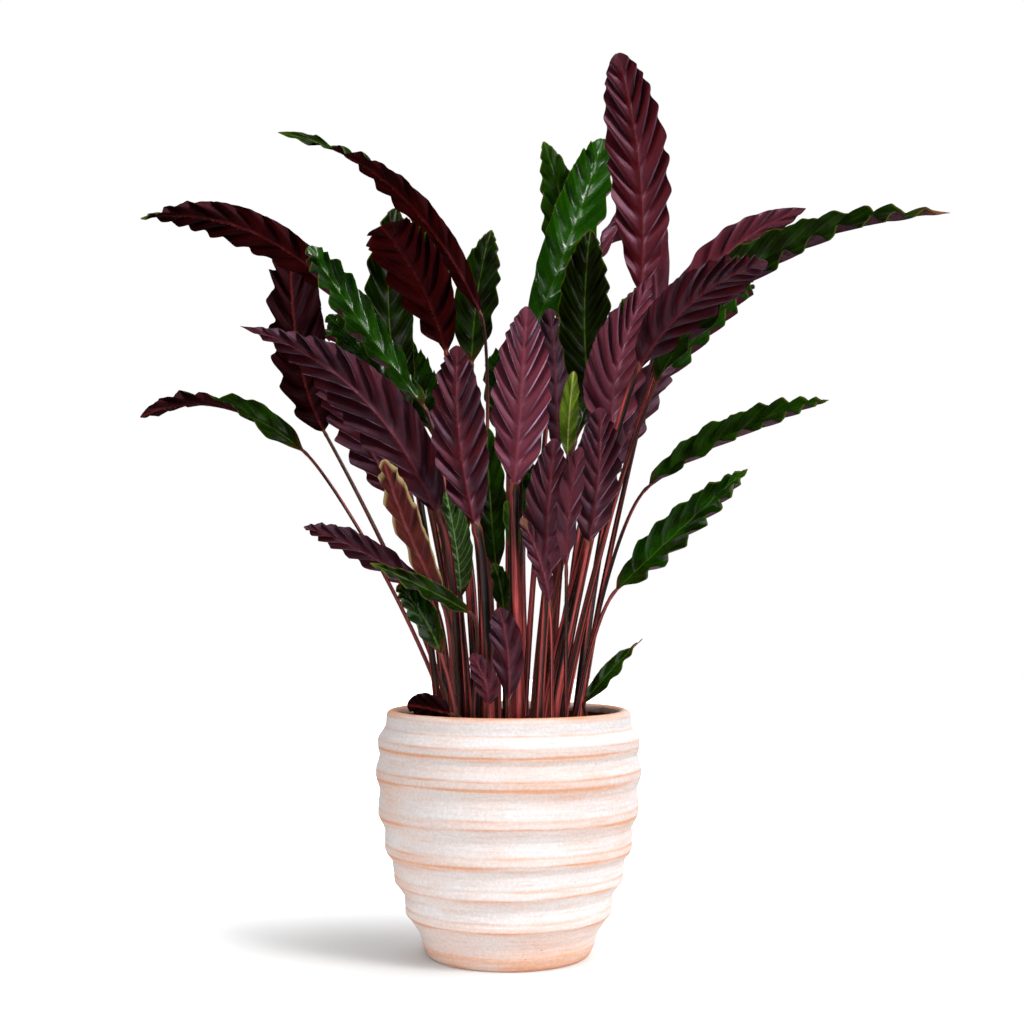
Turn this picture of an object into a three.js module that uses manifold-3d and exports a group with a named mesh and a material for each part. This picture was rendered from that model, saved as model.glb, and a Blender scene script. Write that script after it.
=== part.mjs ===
// A potted calathea: a ribbed, whitewashed clay pot, potting soil and the leaves of the plant.
// Millimetres, +Z up, with the origin in the middle of the pot's flat underside.
import * as THREE from 'three';
import { mergeVertices } from 'three/addons/utils/BufferGeometryUtils.js';
import Module from 'manifold-3d';

// Driving dimensions of the pot
const POT_HEIGHT = 203;
const FOOT_RADIUS = 64;
const FLOOR_THICKNESS = 12;
const MOUTH_RADIUS = 92;
const LIP_RADIUS = 102.6;
const LIP_HEIGHT = 13;
const POT_SIDES = 32;
const LIP_ROUND = 1.6;
const FOOT_ROUND = 4;
const FOOT_RISE = 9;

// Thrown beads from the top down: height of the crest, radius there, height and radius under it
const BEADS = [
  { crest: 176, radius: 109.8, hollow: 166, hollowRadius: 107.6 },
  { crest: 151, radius: 111.2, hollow: 138, hollowRadius: 107.4 },
  { crest: 120, radius: 108.9, hollow: 106, hollowRadius: 103.0 },
  { crest: 91, radius: 103.2, hollow: 80, hollowRadius: 97.0 },
  { crest: 65, radius: 95.6, hollow: 51, hollowRadius: 86.8 },
  { crest: 38, radius: 86.2, hollow: 20, hollowRadius: 74.2 },
];
const BEAD_HALF_HEIGHT = 3.4;
const BEAD_BEVEL = 2.2;

// Driving dimensions of the soil
const SOIL_LEVEL = 189;
const SOIL_MOUND = 4;
const SOIL_LUMP = 1.6;
const SOIL_RINGS = 4;

// Gap between touching pieces, and the wider ones that slanted faces need for the same gap
const CLEARANCE = 0.3;
const SLANT_CLEARANCE = 0.39;
const HOLE_CLEARANCE = 0.36;

// Driving dimensions shared by all leaves
const STALK_DEPTH = 22;
const STALK_STRAIGHT = 8;
const STALK_STEPS = 4;
const STALK_LEAN = 0.6;
const STALK_PULL = 0.35;
const NECK_PULL = 0.2;
const NECK_PULL_MOST = 30;
const SWELLING = 16;
const SWELLING_START = 0.5;
const BLADE_THICKNESS = 0.9;
const RIB_RISE = 0.5;
const RIB_TIP_RADIUS = 0.7;
const VEIN_SWEEP = 1.5;
const SCALLOP = 0.07;
const WAVE_JITTER = 0.5;
const FIRST_CREST = 0.35;
const LAST_CREST = 0.97;

// The leaves. root is where the stalk leaves the soil; neck, mid and tip are points on the blade's
// rib; bearing is the compass direction, from +X towards +Y, that the underside faces when the
// blade stands upright; roll turns the blade about its rib, at the neck and at the tip, and late
// says how near the tip most of that turn is; stout is the stalk's thickness beside the usual one
// for the blade's width.
const LEAVES = [
  // far left, arching out high
  { root: [-45, 24], neck: [-143, 48, 559], mid: [-228, 20, 615], tip: [-315, 0, 620],
    bearing: 190, roll: [58, -60], late: 8, width: 36, waves: 9, taper: 0.75, stout: 0.8 },
  { root: [-22, 5], neck: [-24, 0, 538], mid: [-96, -25, 639], tip: [-191, -50, 680],
    bearing: 190, roll: [55, -110], late: 3, width: 28, waves: 10, taper: 0.9, stout: 0.85 },
  { root: [-49, 8], neck: [-161, 35, 441], mid: [-188, 62, 517], tip: [-201, 98, 628],
    bearing: 250, roll: [0, 0], width: 53, waves: 8, taper: 0.45, stout: 0.65 },
  { root: [-40, -38], neck: [-57, -60, 365], mid: [-121, -95, 460], tip: [-208, -120, 507],
    bearing: 215, roll: [45, 40], width: 52, waves: 10, taper: 1.2, stout: 1.6 },
  { root: [-51, -8], neck: [-176, 10, 422], mid: [-243, -10, 457], tip: [-306, -30, 446],
    bearing: 190, roll: [-90, 60], late: 1, width: 34, waves: 7, taper: 0.8, fold: 25, stout: 0.7 },
  // bright green upper sides, left of the middle
  { root: [-34, -22], neck: [-73, 20, 460], mid: [-129, 5, 535], tip: [-170, -10, 594],
    bearing: 135, roll: [0, 0], width: 42, waves: 8 },
  { root: [-36, 14], neck: [-92, 30, 463], mid: [-125, 30, 505], tip: [-158, 28, 542],
    bearing: 120, roll: [0, 0], width: 36, waves: 6 },
  { root: [-26, -32], neck: [-52, -30, 501], mid: [-71, -58, 551], tip: [-102, -88, 593],
    bearing: 240, roll: [10, 0], width: 56, waves: 8, taper: 0.25, stout: 0.9 },
  { root: [-38, 34], neck: [-90, 66, 457], mid: [-109, 84, 554], tip: [-104, 108, 656],
    bearing: 110, roll: [0, 0], width: 44, waves: 8 },
  { root: [-12, 18], neck: [-33, 60, 505], mid: [-28, 75, 571], tip: [-16, 95, 633],
    bearing: 80, roll: [0, 0], width: 40, waves: 7, taper: 0.8 },
  // the two that face the front
  { root: [-17, -52], neck: [-26, -80, 355], mid: [-39, -95, 425], tip: [-40, -108, 494],
    bearing: 262, roll: [0, 0], width: 44, waves: 9, stout: 2, taper: 0.65 },
  { root: [8, -58], neck: [5, -85, 386], mid: [10, -102, 456], tip: [14, -118, 523],
    bearing: 268, roll: [0, 0], width: 46, waves: 9, stout: 1.8, taper: 0.7 },
  // the tallest, and the green ones behind it
  { root: [34, -8], neck: [112, -5, 556], mid: [110, -25, 654], tip: [89, -60, 743],
    bearing: 270, roll: [0, 0], width: 51, waves: 10, stout: 1.2 },
  { root: [14, 48], neck: [44, 75, 546], mid: [50, 95, 637], tip: [32, 115, 721],
    bearing: 95, roll: [0, 0], width: 40, waves: 8, taper: 0.75 },
  { root: [8, 22], neck: [18, 35, 522], mid: [58, 60, 625], tip: [86, 92, 717],
    bearing: 85, roll: [0, 0], width: 46, waves: 8 },
  { root: [22, 6], neck: [68, -22, 460], mid: [64, -14, 535], tip: [70, -4, 610],
    bearing: 80, roll: [0, 0], width: 44, waves: 8, taper: 0.7 },
  { root: [63, 36], neck: [132, 62, 531], mid: [121, 68, 634], tip: [80, 62, 600],
    bearing: 190, roll: [40, 40], width: 38, waves: 4 },
  // right, arching out high
  { root: [48, 6], neck: [139, -5, 528], mid: [184, -30, 584], tip: [243, -60, 614],
    bearing: -25, roll: [-70, -60], width: 38, waves: 7, taper: 0.9, stout: 0.8 },
  { root: [44, -12], neck: [121, -40, 472], mid: [212, -70, 568], tip: [352, -90, 603],
    bearing: -10, roll: [60, 30], late: 1, width: 50, waves: 10, taper: 0.9, fold: 28, stout: 0.8 },
  { root: [39, -30], neck: [105, -75, 482], mid: [146, -105, 530], tip: [198, -140, 553],
    bearing: -40, roll: [-30, -20], width: 47, waves: 9, stout: 1.3, taper: 0.65 },
  { root: [30, -26], neck: [84, -45, 426], mid: [90, -55, 490], tip: [116, -66, 556],
    bearing: -70, roll: [0, 0], width: 52, waves: 9, stout: 1.4, taper: 0.9 },
  { root: [38, 16], neck: [83, 24, 396], mid: [112, 32, 456], tip: [145, 38, 512],
    bearing: -50, roll: [0, 0], width: 40, waves: 6 },
  // right, lower, with stalks standing clear
  { root: [56, -12], neck: [118, -10, 390], mid: [187, -25, 431], tip: [265, -35, 460],
    bearing: 0, roll: [35, 35], width: 38, waves: 8, taper: 0.8, fold: 28, stout: 0.75 },
  { root: [54, -42], neck: [87, -60, 303], mid: [134, -90, 349], tip: [186, -110, 397],
    bearing: -20, roll: [55, 55], width: 38, waves: 8, taper: 0.8, stout: 0.75 },
  { root: [64, -30], neck: [62, -34, 211], mid: [85, -45, 239], tip: [108, -58, 264],
    bearing: 0, roll: [60, -40], late: 4, width: 15, waves: 4, taper: 0.9 },
  // left, lower
  { root: [-46, -22], neck: [-69, -30, 303], mid: [-124, -30, 337], tip: [-169, -35, 355],
    bearing: 190, roll: [50, 50], width: 28, waves: 7, taper: 0.8 },
  { root: [-28, -60], neck: [-31, -75, 285], mid: [-65, -95, 304], tip: [-108, -105, 324],
    bearing: 180, roll: [-50, -50], width: 18, waves: 5, taper: 0.8 },
  { root: [-40, -76], neck: [-53, -84, 252], mid: [-68, -90, 283], tip: [-87, -95, 307],
    bearing: 160, roll: [-40, -40], width: 24, waves: 5 },
  { root: [-34, -70], neck: [-46, -66, 204], mid: [-62, -56, 207], tip: [-82, -50, 210],
    bearing: 190, roll: [60, 60], width: 26, waves: 4 },
  { root: [-42, -50], neck: [-54, -72, 297], mid: [-80, -92, 352], tip: [-97, -105, 405],
    bearing: 215, roll: [20, 20], width: 29, waves: 5, stout: 1.4 },
  // short ones inside the clump
  { root: [-30, -46], neck: [-39, -38, 298], mid: [-43, -36, 339], tip: [-52, -30, 384],
    bearing: 100, roll: [0, 0], width: 26, waves: 6 },
  { root: [-8, -20], neck: [-10, -30, 319], mid: [-15, -30, 377], tip: [-18, -25, 438],
    bearing: 90, roll: [0, 0], width: 26, waves: 7 },
  { root: [24, -68], neck: [30, -85, 311], mid: [31, -97, 366], tip: [36, -110, 421],
    bearing: 272, roll: [0, 0], width: 37, waves: 7, stout: 1.5, taper: 0.7 },
  { root: [36, -50], neck: [64, -70, 341], mid: [71, -82, 394], tip: [72, -95, 447],
    bearing: 280, roll: [0, 0], width: 38, waves: 8, stout: 1.6, taper: 0.65 },
  { root: [36, -14], neck: [49, -32, 414], mid: [50, -34, 446], tip: [54, -36, 484],
    bearing: 80, roll: [0, 0], width: 16, waves: 4 },
  { root: [20, -8], neck: [42, 6, 422], mid: [40, 14, 486], tip: [35, 22, 547],
    bearing: 290, roll: [0, 0], width: 30, waves: 7 },
  { root: [0, -74], neck: [0, -80, 216], mid: [-1, -85, 256], tip: [-8, -90, 289],
    bearing: 262, roll: [0, 0], width: 26, waves: 4 },
  { root: [-18, -74], neck: [-17, -82, 212], mid: [-18, -90, 230], tip: [-29, -90, 253],
    bearing: 255, roll: [0, 0], width: 20, waves: 4 },
  { root: [46, -58], neck: [45, -104, 322], mid: [47, -120, 368], tip: [55, -134, 412],
    bearing: 290, roll: [0, 0], width: 20, waves: 5 },
  { root: [9, -38], neck: [7, -50, 327], mid: [3, -50, 352], tip: [-2, -45, 376],
    bearing: 90, roll: [0, 0], width: 12, waves: 3 },
  { root: [-3, -40], neck: [-4, -48, 283], mid: [-6, -50, 303], tip: [-12, -50, 325],
    bearing: 120, roll: [0, 0], width: 18, waves: 3 },
  // one behind the big left blade, and a crumpled one in the middle
  { root: [-57, -32], neck: [-89, -36, 375], mid: [-124, -30, 435], tip: [-159, -14, 491],
    bearing: 225, roll: [25, 15], width: 46, waves: 8 },
  { root: [34, -78], neck: [32, -104, 293], mid: [24, -110, 326], tip: [10, -112, 359],
    bearing: 265, roll: [0, 0], width: 15, waves: 6 },
  // the back of the plant
  { root: [0, 56], neck: [0, 95, 430], mid: [0, 150, 500], tip: [5, 215, 540],
    bearing: 90, roll: [0, 0], width: 48, waves: 8, stout: 1.3 },
  { root: [-36, 50], neck: [-66, 98, 440], mid: [-96, 154, 510], tip: [-118, 220, 548],
    bearing: 112, roll: [0, 0], width: 48, waves: 8, stout: 1.3 },
  { root: [32, 56], neck: [60, 100, 440], mid: [88, 150, 510], tip: [112, 205, 545],
    bearing: 65, roll: [0, 0], width: 48, waves: 8, stout: 1.3 },
  { root: [-14, 66], neck: [-20, 110, 360], mid: [-30, 175, 400], tip: [-45, 235, 405],
    bearing: 100, roll: [0, 0], width: 42, waves: 7, stout: 1.3 },
  { root: [14, 68], neck: [15, 105, 368], mid: [34, 170, 413], tip: [54, 235, 423],
    bearing: 75, roll: [0, 0], width: 42, waves: 7, stout: 1.3 },
  { root: [-27, 64], neck: [-40, 88, 350], mid: [-64, 130, 388], tip: [-90, 174, 400],
    bearing: 115, roll: [0, 0], width: 40, waves: 7, stout: 1.3 },
  { root: [46, 40], neck: [66, 68, 370], mid: [82, 105, 405], tip: [96, 145, 425],
    bearing: 60, roll: [0, 0], width: 38, waves: 7, stout: 1.3 },
  { root: [-54, 38], neck: [-99, 92, 468], mid: [-144, 140, 530], tip: [-190, 184, 545],
    bearing: 140, roll: [0, 0], width: 44, waves: 8, stout: 1.3 },
  { root: [58, 18], neck: [112, 74, 462], mid: [170, 94, 532], tip: [226, 112, 586],
    bearing: 45, roll: [0, 0], width: 42, waves: 8, stout: 1.3 },
];

// Values that a leaf takes where its row says nothing else
const DEFAULT_FOLD = 12;
const DEFAULT_TAPER = 0.55;
const DEFAULT_STOUT = 1;
const DEFAULT_LATE = 2;
const BASE_TAPER = 0.65;
const RUFFLE_PER_WIDTH = 0.085;
const STALK_RADIUS_PER_WIDTH = 0.05;
const STALK_LEAST_RADIUS = 0.9;
const NECK_LEAST_RADIUS = 1.3;
const NECK_SHARE = 0.6;

const clay = new THREE.MeshStandardMaterial({ color: 0xf3e2d8, roughness: 0.9, metalness: 0 });
const peat = new THREE.MeshStandardMaterial({ color: 0x33231a, roughness: 1, metalness: 0 });
const frond = new THREE.MeshStandardMaterial({ color: 0x5b2330, roughness: 0.5, metalness: 0 });

const wasm = await Module();
wasm.setup();

const vector = (point) => new THREE.Vector3(point[0], point[1], point[2]);
const mix = (a, b, share) => a + (b - a) * share;

// A repeatable draw between 0 and 1
function draw(seed, index) {
  const value = Math.sin(seed * 12.9898 + index * 78.233) * 43758.5453;
  return value - Math.floor(value);
}

function solidFrom(geometry) {
  const bare = geometry.clone();
  bare.deleteAttribute('normal');
  bare.deleteAttribute('uv');
  const merged = mergeVertices(bare, 1e-4);
  return new wasm.Manifold(new wasm.Mesh({
    numProp: 3,
    vertProperties: new Float32Array(merged.attributes.position.array),
    triVerts: new Uint32Array(merged.index.array),
  }));
}

function geometryFrom(solid) {
  const mesh = solid.getMesh();
  const geometry = new THREE.BufferGeometry();
  geometry.setAttribute('position', new THREE.BufferAttribute(mesh.vertProperties, 3));
  geometry.setIndex(new THREE.BufferAttribute(mesh.triVerts, 1));
  geometry.computeVertexNormals();
  return geometry;
}

// A profile of radius and height turned about the vertical axis
function turned(profile, sides) {
  const points = profile.map(([radius, height]) => new THREE.Vector2(radius, height));
  return new THREE.LatheGeometry(points, sides).rotateX(Math.PI / 2);
}

// The pot's outside runs from the foot up over the beads to the lip
function potOutside() {
  const profile = [
    [0, 0],
    [FOOT_RADIUS, 0],
    [FOOT_RADIUS + FOOT_ROUND, FOOT_ROUND / 2],
    [FOOT_RADIUS + FOOT_ROUND * 1.85, FOOT_RISE],
  ];
  for (const bead of [...BEADS].reverse()) {
    profile.push([bead.hollowRadius, bead.hollow]);
    profile.push([mix(bead.radius, bead.hollowRadius, 0.3), bead.crest - BEAD_HALF_HEIGHT - BEAD_BEVEL]);
    profile.push([bead.radius - 0.3, bead.crest - BEAD_HALF_HEIGHT]);
    profile.push([bead.radius, bead.crest + BEAD_HALF_HEIGHT]);
  }
  return profile;
}

function potLip() {
  const top = POT_HEIGHT;
  return [
    [LIP_RADIUS + 0.4, top - LIP_HEIGHT],
    [LIP_RADIUS, top - LIP_ROUND * 3.75],
    [LIP_RADIUS - LIP_ROUND * 1.6, top - LIP_ROUND],
    [LIP_RADIUS - LIP_ROUND * 3.5, top],
    [MOUTH_RADIUS + LIP_ROUND, top - LIP_ROUND],
    [MOUTH_RADIUS, top - LIP_ROUND * 3],
  ];
}

// The inside wall from the mouth down, which the soil follows too
const insideWall = {
  throat: [MOUTH_RADIUS + 0.6, POT_HEIGHT - LIP_HEIGHT],
  belly: [98, 125],
  taper: [80, 45],
  floor: [58, FLOOR_THICKNESS],
};

function pot() {
  const inside = [...Object.values(insideWall), [0, FLOOR_THICKNESS]];
  return turned([...potOutside(), ...potLip(), ...inside], POT_SIDES);
}

// The soil's top is a low mound with lumps about 50 mm apart, and level where it meets the pot
function soilHeight(x, y) {
  const reach = Math.hypot(x, y) / MOUTH_RADIUS;
  const lumps = Math.sin(x * 0.11 + 1.3) * Math.cos(y * 0.13 - 0.6) + 0.6 * Math.sin(x * 0.07 - y * 0.19);
  return SOIL_LEVEL + SOIL_MOUND * (1 - reach * reach) + SOIL_LUMP * lumps * (1 - reach ** 4);
}

function soil() {
  const { throat, belly, taper, floor } = insideWall;
  const brim = mix(belly[0], throat[0], (SOIL_LEVEL - belly[1]) / (throat[1] - belly[1])) - SLANT_CLEARANCE;
  const profile = [
    [0, FLOOR_THICKNESS + CLEARANCE],
    [floor[0] - CLEARANCE, FLOOR_THICKNESS + CLEARANCE],
    [taper[0] - SLANT_CLEARANCE, taper[1]],
    [belly[0] - SLANT_CLEARANCE, belly[1]],
  ];
  for (let ring = SOIL_RINGS; ring > 0; ring -= 1) {
    profile.push([brim * ring / SOIL_RINGS, SOIL_LEVEL]);
  }
  profile.push([0, SOIL_LEVEL]);
  const bed = turned(profile, POT_SIDES);
  const position = bed.attributes.position;
  for (let i = 0; i < position.count; i += 1) {
    if (position.getZ(i) > SOIL_LEVEL - 1) {
      position.setZ(i, soilHeight(position.getX(i), position.getY(i)));
    }
  }
  return solidFrom(bed);
}

// The measures of one leaf that its row gives only in part
function measured(row, index) {
  const fold = row.fold ?? DEFAULT_FOLD;
  const taper = row.taper ?? DEFAULT_TAPER;
  const stout = row.stout ?? DEFAULT_STOUT;
  const late = row.late ?? DEFAULT_LATE;
  const stalk = stout * (row.width * STALK_RADIUS_PER_WIDTH + STALK_LEAST_RADIUS);
  const peak = BASE_TAPER / (BASE_TAPER + taper);
  return {
    ...row,
    seed: index + 1,
    fold: THREE.MathUtils.degToRad(fold),
    taper,
    late,
    peak: peak ** BASE_TAPER * (1 - peak) ** taper,
    ruffle: row.width * RUFFLE_PER_WIDTH,
    baseRadius: stalk,
    neckRadius: Math.max(NECK_LEAST_RADIUS, stalk * NECK_SHARE),
    bearing: THREE.MathUtils.degToRad(row.bearing),
    foot: SOIL_LEVEL + STALK_STRAIGHT,
  };
}

function bladeCurve(leaf) {
  const neck = vector(leaf.neck);
  const tip = vector(leaf.tip);
  const pull = vector(leaf.mid).multiplyScalar(2).addScaledVector(neck, -0.5).addScaledVector(tip, -0.5);
  return new THREE.QuadraticBezierCurve3(neck, pull, tip);
}

function stalkCurve(leaf, blade) {
  const start = new THREE.Vector3(leaf.root[0], leaf.root[1], leaf.foot);
  const span = new THREE.Vector3().subVectors(blade.v0, start);
  const rise = new THREE.Vector3(span.x * STALK_LEAN, span.y * STALK_LEAN, span.z);
  rise.setLength(span.length() * STALK_PULL);
  const into = blade.getTangent(0).multiplyScalar(-Math.min(NECK_PULL_MOST, span.length() * NECK_PULL));
  return new THREE.CubicBezierCurve3(start, start.clone().add(rise), blade.v0.clone().add(into), blade.v0);
}

// The blade's axes at a tangent: across to its right, and out of its upper side
function axesAt(leaf, tangent, share) {
  const outward = new THREE.Vector3(Math.cos(leaf.bearing), Math.sin(leaf.bearing), 0);
  const across = new THREE.Vector3().crossVectors(outward, new THREE.Vector3(0, 0, 1));
  across.addScaledVector(tangent, -across.dot(tangent)).normalize();
  const upper = new THREE.Vector3().crossVectors(across, tangent);
  const roll = THREE.MathUtils.degToRad(mix(leaf.roll[0], leaf.roll[1], share ** leaf.late));
  return {
    across: across.clone().multiplyScalar(Math.cos(roll)).addScaledVector(upper, -Math.sin(roll)),
    upper: upper.multiplyScalar(Math.cos(roll)).addScaledVector(across, Math.sin(roll)),
  };
}

function halfWidth(leaf, share) {
  const form = share ** BASE_TAPER * Math.max(0, 1 - share) ** leaf.taper;
  return 0.5 * leaf.width * form / leaf.peak;
}

// A ring of six points: the left edge, the rib and the right edge, on the upper and the under side
function stalkRing(centre, axes, radius) {
  return [150, 90, 30, -30, -90, -150].map((degrees) => {
    const angle = THREE.MathUtils.degToRad(degrees);
    return centre.clone()
      .addScaledVector(axes.across, radius * Math.cos(angle))
      .addScaledVector(axes.upper, radius * Math.sin(angle));
  });
}

// The margin point at one wave's crest or trough, on the left (-1) or the right (1)
function marginPoint(leaf, blade, index, share, side) {
  const axes = axesAt(leaf, blade.getTangent(share), share);
  const reach = halfWidth(leaf, share);
  const sign = index % 2 === 0 ? 1 : -1;
  const strength = 1 + WAVE_JITTER * (2 * draw(leaf.seed, index * 2 + (side + 1) / 2) - 1);
  const envelope = Math.min(1, 2 * reach / (0.5 * leaf.width));
  const wave = sign * leaf.ruffle * strength * envelope;
  const out = reach * (1 - SCALLOP * sign);
  const centre = blade.getPoint(share)
    .addScaledVector(axes.across, side * out * Math.cos(leaf.fold))
    .addScaledVector(axes.upper, out * Math.sin(leaf.fold) + wave);
  return {
    top: centre.clone().addScaledVector(axes.upper, BLADE_THICKNESS / 2),
    under: centre.clone().addScaledVector(axes.upper, -BLADE_THICKNESS / 2),
  };
}

function bladeRing(leaf, blade, index, share) {
  const swept = Math.min(share + VEIN_SWEEP * halfWidth(leaf, share) / leaf.length, mix(share, 1, 0.6));
  const left = marginPoint(leaf, blade, index, swept, -1);
  const right = marginPoint(leaf, blade, index, swept, 1);
  const axes = axesAt(leaf, blade.getTangent(share), share);
  const rib = blade.getPoint(share);
  const keel = mix(leaf.neckRadius, RIB_TIP_RADIUS, Math.sqrt(share));
  return [
    left.top,
    rib.clone().addScaledVector(axes.upper, RIB_RISE),
    right.top,
    right.under,
    rib.clone().addScaledVector(axes.upper, -keel),
    left.under,
  ];
}

function tipRing(leaf, blade) {
  const axes = axesAt(leaf, blade.getTangent(1), 1);
  return stalkRing(blade.v2, axes, BLADE_THICKNESS / 2);
}

function leafRings(row, index) {
  const leaf = measured(row, index);
  const blade = bladeCurve(leaf);
  leaf.length = blade.getLength();
  const stalk = stalkCurve(leaf, blade);
  const rings = [];
  const upright = axesAt(leaf, new THREE.Vector3(0, 0, 1), 0);
  const sunk = new THREE.Vector3(leaf.root[0], leaf.root[1], SOIL_LEVEL - STALK_DEPTH);
  rings.push(stalkRing(sunk, upright, leaf.baseRadius));
  rings.push(stalkRing(stalk.v0, upright, leaf.baseRadius));
  const swollen = Math.max(SWELLING_START, 1 - SWELLING / stalk.getLength());
  for (let step = 1; step <= STALK_STEPS; step += 1) {
    const share = swollen * step / STALK_STEPS;
    const axes = axesAt(leaf, stalk.getTangent(share), 0);
    rings.push(stalkRing(stalk.getPoint(share), axes, mix(leaf.baseRadius, leaf.neckRadius, share)));
  }
  const steps = leaf.waves * 2;
  for (let step = 0; step < steps; step += 1) {
    const nudge = step === 0 ? 0 : WAVE_JITTER * (draw(leaf.seed, 100 + step) - 0.5);
    rings.push(bladeRing(leaf, blade, step, (step + FIRST_CREST + nudge) / steps * LAST_CREST));
  }
  rings.push(tipRing(leaf, blade));
  return rings;
}

// Faces between two rings; the splits lie alike on the upper and the under side of the blade
const SPLIT_FROM_EDGE = [true, false, true, true, false, true];

// A closed body through rings of six points, flat at its first ring and at its last
function lofted(rings) {
  const positions = rings.flat().flatMap((point) => [point.x, point.y, point.z]);
  const faces = [];
  for (let ring = 0; ring < rings.length - 1; ring += 1) {
    for (let side = 0; side < 6; side += 1) {
      const a = ring * 6 + side;
      const b = ring * 6 + (side + 1) % 6;
      const c = b + 6;
      const d = a + 6;
      faces.push(...(SPLIT_FROM_EDGE[side] ? [a, b, c, a, c, d] : [a, b, d, b, c, d]));
    }
  }
  const last = (rings.length - 1) * 6;
  for (let side = 1; side < 5; side += 1) {
    faces.push(0, side + 1, side, last, last + side, last + side + 1);
  }
  const geometry = new THREE.BufferGeometry();
  geometry.setAttribute('position', new THREE.Float32BufferAttribute(positions, 3));
  geometry.setIndex(faces);
  geometry.computeVertexNormals();
  return geometry;
}

// The hole that one stalk stands in, a little wider than the stalk and open at the top
function stalkHole(row, index) {
  const leaf = measured(row, index);
  const axes = axesAt(leaf, new THREE.Vector3(0, 0, 1), 0);
  const heights = [SOIL_LEVEL - STALK_DEPTH - CLEARANCE, leaf.foot + STALK_STRAIGHT];
  return solidFrom(lofted(heights.map((height) => stalkRing(
    new THREE.Vector3(leaf.root[0], leaf.root[1], height),
    axes,
    leaf.baseRadius + HOLE_CLEARANCE,
  ))));
}

const model = new THREE.Group();

function place(name, geometry, material) {
  const mesh = new THREE.Mesh(geometry, material);
  mesh.name = name;
  model.add(mesh);
}

place('pot', pot(), clay);

let bed = soil();
LEAVES.forEach((row, index) => {
  bed = bed.subtract(stalkHole(row, index));
});
place('soil', geometryFrom(bed), peat);

LEAVES.forEach((row, index) => {
  place(`leaf_${String(index + 1).padStart(2, '0')}`, lofted(leafRings(row, index)), frond);
});

export default model;
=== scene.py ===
import math

import bmesh
import bpy
import numpy as np
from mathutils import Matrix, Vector, noise


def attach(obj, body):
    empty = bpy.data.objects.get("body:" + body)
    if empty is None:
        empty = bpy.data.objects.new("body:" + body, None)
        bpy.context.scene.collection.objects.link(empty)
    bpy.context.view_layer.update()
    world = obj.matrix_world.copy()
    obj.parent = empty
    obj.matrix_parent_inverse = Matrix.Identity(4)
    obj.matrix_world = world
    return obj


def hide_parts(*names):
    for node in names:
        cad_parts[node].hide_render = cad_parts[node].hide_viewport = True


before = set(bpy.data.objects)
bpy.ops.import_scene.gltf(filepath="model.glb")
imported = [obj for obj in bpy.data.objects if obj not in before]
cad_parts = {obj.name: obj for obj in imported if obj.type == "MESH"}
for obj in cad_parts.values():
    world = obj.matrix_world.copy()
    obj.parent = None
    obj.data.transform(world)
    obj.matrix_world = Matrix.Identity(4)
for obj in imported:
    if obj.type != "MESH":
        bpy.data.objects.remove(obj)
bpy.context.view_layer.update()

MM = 0.001

# Camera: its place, its upward tilt in degrees, its lens and the width of its sensor
CAMERA_PLACE = (2.8, -1311, 302.5)
CAMERA_TILT = 2.9
CAMERA_LENS = 54.5
SENSOR = 36

# Light: the surround, the far lamps with where each stands, its strength and its width in degrees, and
# the wide lamp low in front. Only the key and the top lamp are mirrored in what they light.
SURROUND_LIGHT = 0.09
FAR_LAMPS = [
    ("key", (1.0, -0.75, 0.95), 2.65, 18),
    ("soft_key", (1.0, -0.3, 0.85), 2.1, 70),
    ("left_fill", (-1.0, -0.75, 0.1), 2.5, 40),
    ("back_fill", (0.2, 1.0, 0.8), 2.2, 60),
    ("top", (-0.4, -0.5, 1.0), 0.9, 14),
]
MIRRORED_LAMPS = ("key", "top")
LOW_LIGHT = 1.75
LOW_LIGHT_SIZE = (900, 300)
LOW_LIGHT_PLACE = (100, -800, 50)
LOW_LIGHT_AIM = (0, 0, 500)

# Table: the size of its near and far part, and how many sides stand for round
TABLE_RADIUS = 4000
NEAR_TABLE_RADIUS = 330
TABLE_SIDES = 96

# Where the table has a shadow: its middle, and its reach to each side and to the front and back
SHADE_PLACE = (-70, 20)
SHADE_REACH = (560, 330)

# Pot
POT_HEIGHT = 203
FOOT_RADIUS = 64
FOOT_ROUND = 4
FOOT_RISE = 9
FLOOR_THICKNESS = 12
MOUTH_RADIUS = 92
LIP_RADIUS = 102.6
LIP_HEIGHT = 13
LIP_ROUND = 1.6
BEAD_HALF_HEIGHT = 3.4
BEAD_BEVEL = 2.2
BEADS = [
    dict(crest=176, radius=109.8, hollow=166, hollow_radius=107.6),
    dict(crest=151, radius=111.2, hollow=138, hollow_radius=107.4),
    dict(crest=120, radius=108.9, hollow=106, hollow_radius=103.0),
    dict(crest=91, radius=103.2, hollow=80, hollow_radius=97.0),
    dict(crest=65, radius=95.6, hollow=51, hollow_radius=86.8),
    dict(crest=38, radius=86.2, hollow=20, hollow_radius=74.2),
]
INSIDE_WALL = [(MOUTH_RADIUS + 0.6, POT_HEIGHT - LIP_HEIGHT), (98, 125), (80, 45), (58, FLOOR_THICKNESS)]
POT_SEGMENTS = 176

# What the potter's hands left: fine marks of throwing, softened edges, wavering beads and a wall that is a
# little out of round
THROWING_MARKS = 0.13
EDGE_SOFTENING = 0.35
BEAD_WAVER = (0.75, 0.4)
OUT_OF_ROUND = (0.0022, 0.0012)

# How far the wash is worn off at a bead's lower and upper edge and how far that reaches, and on its face;
# painted shade in the hollow below a bead, drawn as clay without wash, and how far that reaches; and how
# far the wash is worn off under the lip, round the foot, beneath it and inside the pot
EDGES_BARE = (0.75, 0.5)
EDGE_REACH = 0.95
FACE_BARE = 0.22
HOLLOW_SHADE = 0.46
HOLLOW_REACH = 6.5
UNDER_LIP_BARE = 0.5
FOOT_BARE = 0.35
BASE_BARE = 0.4
INSIDE_BARE = 0.6

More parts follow.
